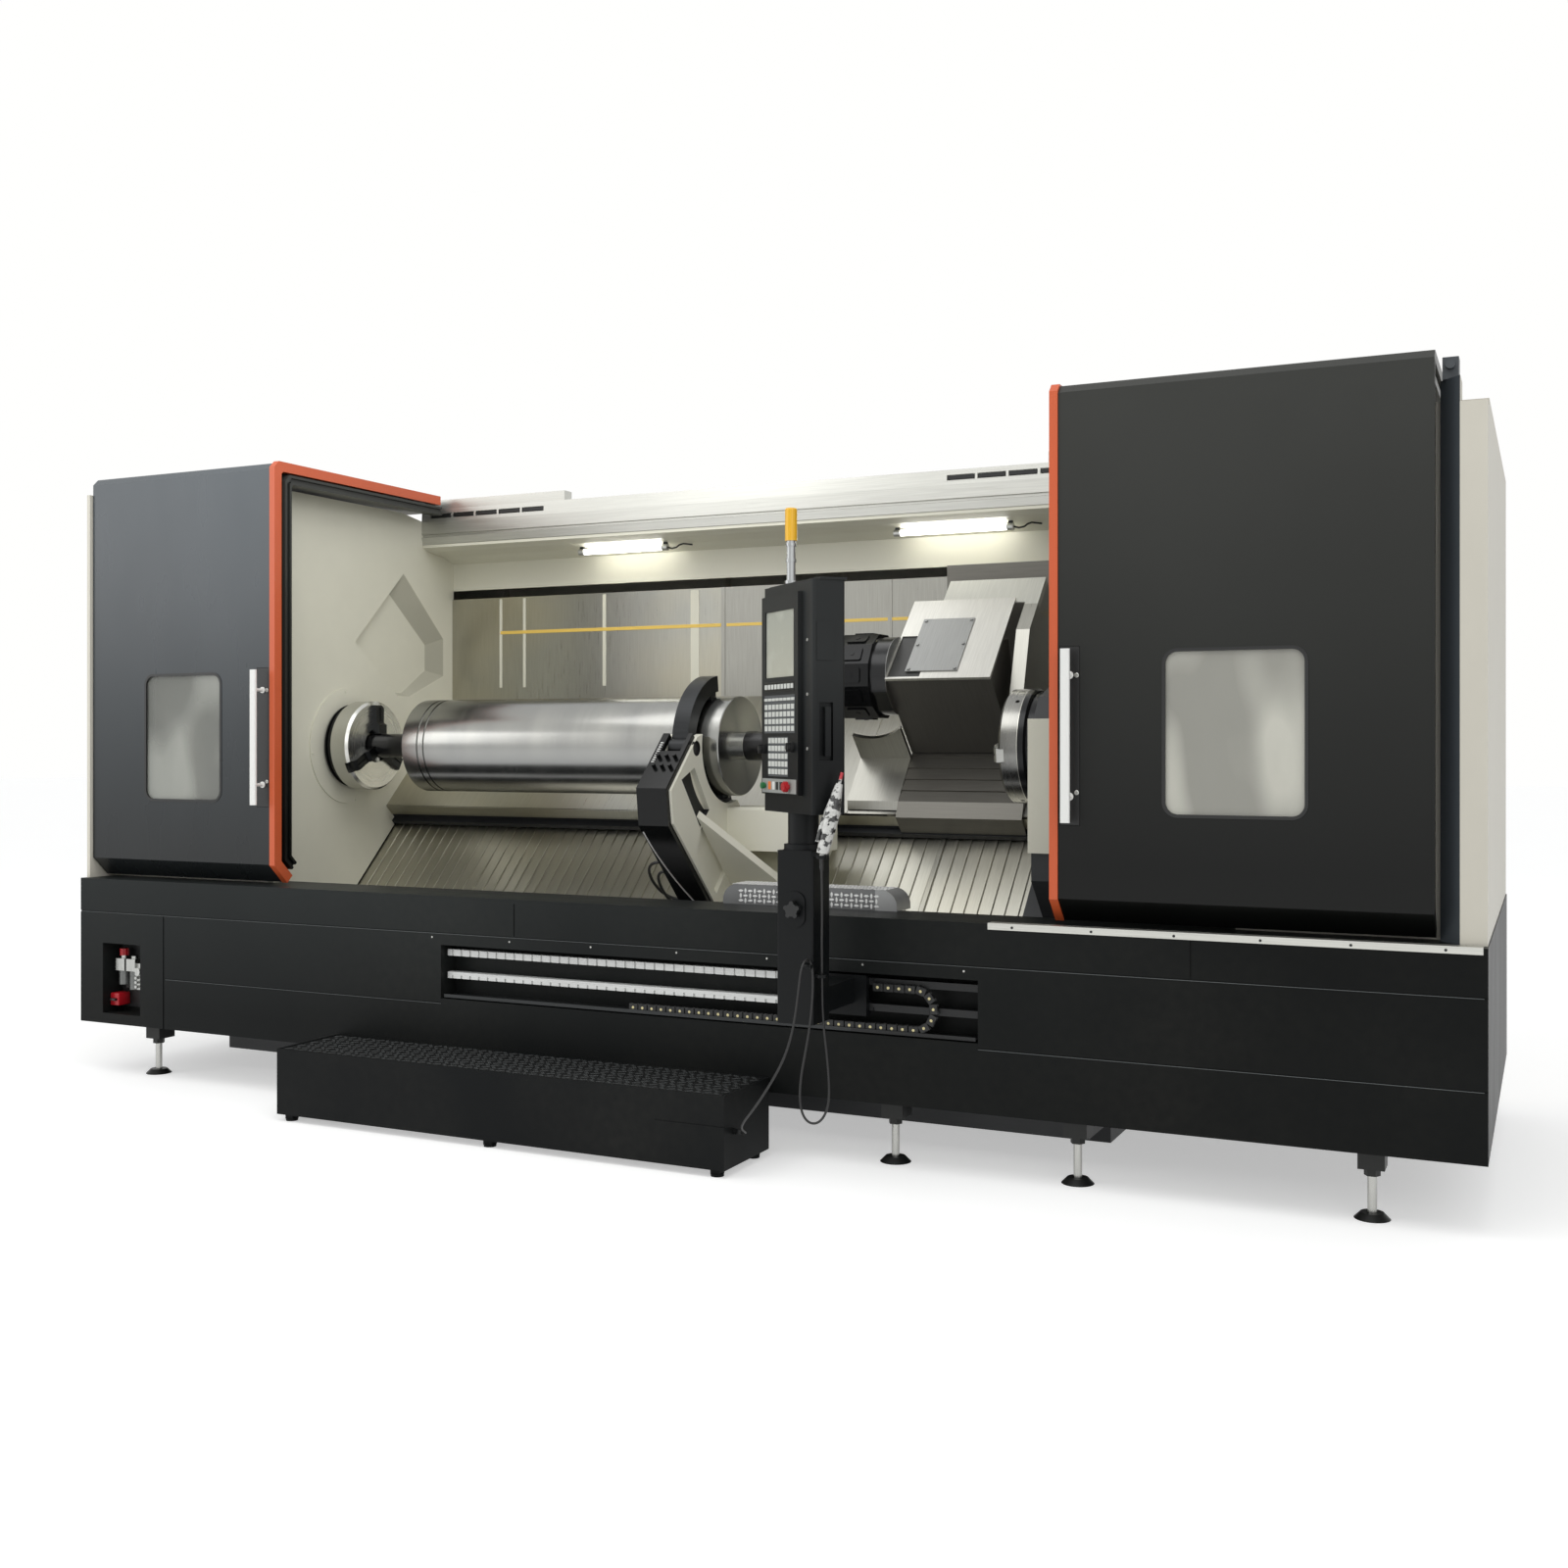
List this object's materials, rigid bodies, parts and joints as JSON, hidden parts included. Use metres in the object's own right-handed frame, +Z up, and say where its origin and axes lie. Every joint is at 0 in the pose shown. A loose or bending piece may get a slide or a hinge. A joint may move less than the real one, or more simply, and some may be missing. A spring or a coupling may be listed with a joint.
{
  "type": "cnc turning lathe",
  "caption": "Slant-bed turning machine in an enclosure with sliding doors, two spindles with chucks, steady rest, turret, sliding control pendant and step.",
  "frame": {"origin": "on the floor, at the middle of the bed casting's base", "axes": "+X along the machine to the operator's right, +Y to the machine's back, +Z up; the operator stands on the -Y side"},
  "size_m": [6.5, 2.7126, 2.992],
  "materials": {
    "casting": "painted casting",
    "skirt_paint": "satin",
    "cabin_paint": "satin",
    "door_paint": "satin",
    "orange_paint": "satin",
    "cream_paint": "satin",
    "white_paint": "satin",
    "pendant_paint": "fine texture",
    "step_paint": "worn",
    "tread": "rolled tread pattern",
    "aluminium": "satin",
    "stainless": "brushed",
    "ground_steel": "ground",
    "turned_steel": "turned",
    "dark_steel": "blackened",
    "black_plastic": "matt",
    "white_plastic": "matt",
    "red_plastic": "gloss",
    "green_plastic": "gloss",
    "lamp_plastic": "clear over yellow",
    "wrapped_plastic": "wrapped in film",
    "hose_rubber": "satin",
    "window_glass": "tinted"
  },
  "bodies": {
    "root": {"bed_casting": "casting", "levelling_feet": "casting", "front_skirt": "skirt_paint", "ledge_strip": "aluminium", "pendant_rails": "ground_steel", "service_unit": "white_plastic", "step_platform": "step_paint", "tread_plate": "tread", "left_cabin": "cabin_paint", "right_cabin": "cream_paint", "rear_enclosure": "cabin_paint", "left_inner_wall": "cream_paint", "back_wall": "cream_paint", "back_beam": "aluminium", "work_lamps": "lamp_plastic", "slope_cover_fixed": "stainless", "lamella_left": "stainless", "lamella_right": "stainless", "main_headstock": "casting", "energy_chain": "black_plastic"},
    "service_knob": {"service_knob": "red_plastic"},
    "main_spindle": {"main_chuck": "ground_steel", "turned_roll": "turned_steel"},
    "sub_headstock": {"sub_headstock": "casting", "sub_guard": "cream_paint"},
    "sub_spindle": {"sub_chuck": "ground_steel"},
    "steady_rest": {"steady_frame": "cream_paint", "steady_cover": "black_plastic"},
    "steady_upper_arm": {"steady_upper_arm": "dark_steel"},
    "steady_lower_arm": {"steady_lower_arm": "dark_steel"},
    "carriage": {"carriage_saddle": "casting", "saddle_covers": "stainless"},
    "tool_ram": {"tool_ram": "casting"},
    "turret": {"turret_disc": "dark_steel"},
    "pendant": {"pendant_column": "pendant_paint", "air_gun": "wrapped_plastic", "air_hose": "hose_rubber"},
    "pendant_head": {"pendant_head": "pendant_paint", "signal_lamp": "lamp_plastic"},
    "clamp_knob": {"clamp_knob": "black_plastic"},
    "feed_knob": {"feed_knob": "black_plastic"},
    "speed_knob": {"speed_knob": "black_plastic"},
    "emergency_stop": {"emergency_stop": "red_plastic"},
    "start_button": {"start_button": "green_plastic"},
    "left_door": {"left_door_panel": "door_paint", "left_door_trim": "orange_paint", "left_door_window": "window_glass", "left_door_handle": "white_paint"},
    "left_inner_door": {"left_inner_door": "door_paint"},
    "right_door": {"right_door_panel": "door_paint", "right_door_trim": "orange_paint", "right_door_window": "window_glass", "right_door_handle": "white_paint"},
    "right_inner_door": {"right_inner_door": "door_paint"},
    "main_jaw_1": {"main_jaw_1": "dark_steel"},
    "sub_jaw_1": {"sub_jaw_1": "dark_steel"},
    "main_jaw_2": {"main_jaw_2": "dark_steel"},
    "sub_jaw_2": {"sub_jaw_2": "dark_steel"},
    "main_jaw_3": {"main_jaw_3": "dark_steel"},
    "sub_jaw_3": {"sub_jaw_3": "dark_steel"}
  },
  "joints": [
    {"name": "left_door_slide", "type": "slide", "parent": "root", "child": "left_door", "axis": [1, 0, 0], "range_m": [0, 1.884]},
    {"name": "left_inner_door_slide", "type": "slide", "parent": "root", "child": "left_inner_door", "axis": [1, 0, 0], "range_m": [0, 0.942]},
    {"name": "right_door_slide", "type": "slide", "parent": "root", "child": "right_door", "axis": [-1, 0, 0], "range_m": [0, 1.879]},
    {"name": "right_inner_door_slide", "type": "slide", "parent": "root", "child": "right_inner_door", "axis": [-1, 0, 0], "range_m": [0, 0.9395]},
    {"name": "main_spindle_turn", "type": "hinge", "parent": "root", "child": "main_spindle", "pos_m": [-2, -0.45, 1.64], "axis": [1, 0, 0], "continuous": true},
    {"name": "main_jaw_1_slide", "type": "slide", "parent": "main_spindle", "child": "main_jaw_1", "axis": [0, 0, 1], "range_m": [0, 0.012]},
    {"name": "main_jaw_2_slide", "type": "slide", "parent": "main_spindle", "child": "main_jaw_2", "axis": [0, -0.866, -0.5], "range_m": [0, 0.012]},
    {"name": "main_jaw_3_slide", "type": "slide", "parent": "main_spindle", "child": "main_jaw_3", "axis": [0, 0.866, -0.5], "range_m": [0, 0.012]},
    {"name": "sub_headstock_slide", "type": "slide", "parent": "root", "child": "sub_headstock", "axis": [1, 0, 0], "range_m": [-0.4, 0]},
    {"name": "sub_spindle_turn", "type": "hinge", "parent": "sub_headstock", "child": "sub_spindle", "pos_m": [1.4, -0.45, 1.64], "axis": [1, 0, 0], "continuous": true},
    {"name": "sub_jaw_1_slide", "type": "slide", "parent": "sub_spindle", "child": "sub_jaw_1", "axis": [0, -0.9848, -0.1736], "range_m": [-0.004, 0.012]},
    {"name": "sub_jaw_2_slide", "type": "slide", "parent": "sub_spindle", "child": "sub_jaw_2", "axis": [0, 0.6428, -0.766], "range_m": [-0.004, 0.012]},
    {"name": "sub_jaw_3_slide", "type": "slide", "parent": "sub_spindle", "child": "sub_jaw_3", "axis": [0, 0.342, 0.9397], "range_m": [-0.004, 0.012]},
    {"name": "steady_slide", "type": "slide", "parent": "root", "child": "steady_rest", "axis": [1, 0, 0], "range_m": [-1, 0.15], "deforming": ["lamella_left", "lamella_right"]},
    {"name": "steady_upper_arm_hinge", "type": "hinge", "parent": "steady_rest", "child": "steady_upper_arm", "pos_m": [-0.04, -0.75981, 1.62918], "axis": [1, 0, 0], "range_deg": [0, 25]},
    {"name": "steady_lower_arm_hinge", "type": "hinge", "parent": "steady_rest", "child": "steady_lower_arm", "pos_m": [-0.04, -0.707, 1.46665], "axis": [1, 0, 0], "range_deg": [-20, 0]},
    {"name": "carriage_slide", "type": "slide", "parent": "root", "child": "carriage", "axis": [1, 0, 0], "range_m": [-1.5, 0.05]},
    {"name": "ram_slide", "type": "slide", "parent": "carriage", "child": "tool_ram", "axis": [0, 0.7071, 0.7071], "range_m": [-0.012, 0.2]},
    {"name": "turret_turn", "type": "hinge", "parent": "tool_ram", "child": "turret", "pos_m": [0.586, -0.1318, 1.9582], "axis": [1, 0, 0], "continuous": true},
    {"name": "pendant_slide", "type": "slide", "parent": "root", "child": "pendant", "axis": [1, 0, 0], "range_m": [-1.75, 0.4], "deforming": ["energy_chain", "air_hose"]},
    {"name": "pendant_head_swivel", "type": "hinge", "parent": "pendant", "child": "pendant_head", "pos_m": [0.915, -1.53, 1.4], "axis": [0, 0, 1], "range_deg": [-95, 85]},
    {"name": "clamp_knob_turn", "type": "hinge", "parent": "pendant", "child": "clamp_knob", "pos_m": [0.915, -1.614, 1.039], "axis": [0, -1, 0], "range_deg": [-180, 360]},
    {"name": "feed_knob_turn", "type": "hinge", "parent": "pendant_head", "child": "feed_knob", "pos_m": [0.7247, -1.47455, 1.631], "axis": [-0.6561, -0.7547, 0], "range_deg": [-135, 135]},
    {"name": "speed_knob_turn", "type": "hinge", "parent": "pendant_head", "child": "speed_knob", "pos_m": [0.92394, -1.64775, 1.637], "axis": [-0.6561, -0.7547, 0], "range_deg": [-135, 135]},
    {"name": "emergency_stop_press", "type": "slide", "parent": "pendant_head", "child": "emergency_stop", "axis": [0.6561, 0.7547, 0], "range_m": [0, 0.006], "stiffness_N_per_m": 1200, "springref_m": -0.002},
    {"name": "start_button_press", "type": "slide", "parent": "pendant_head", "child": "start_button", "axis": [0.6561, 0.7547, 0], "range_m": [0, 0.004], "stiffness_N_per_m": 600, "springref_m": -0.002},
    {"name": "service_knob_turn", "type": "hinge", "parent": "root", "child": "service_knob", "pos_m": [-3.026, -1.128, 0.59], "axis": [0, 0, 1], "range_deg": [-720, 720]}
  ],
  "couplings": [
    {"joint": "left_inner_door_slide", "follows": "left_door_slide", "ratio": 0.5},
    {"joint": "right_inner_door_slide", "follows": "right_door_slide", "ratio": 0.5},
    {"joint": "steady_lower_arm_hinge", "follows": "steady_upper_arm_hinge", "ratio": -0.8},
    {"joint": "main_jaw_2_slide", "follows": "main_jaw_1_slide", "ratio": 1},
    {"joint": "main_jaw_3_slide", "follows": "main_jaw_1_slide", "ratio": 1},
    {"joint": "sub_jaw_2_slide", "follows": "sub_jaw_1_slide", "ratio": 1},
    {"joint": "sub_jaw_3_slide", "follows": "sub_jaw_1_slide", "ratio": 1}
  ]
}
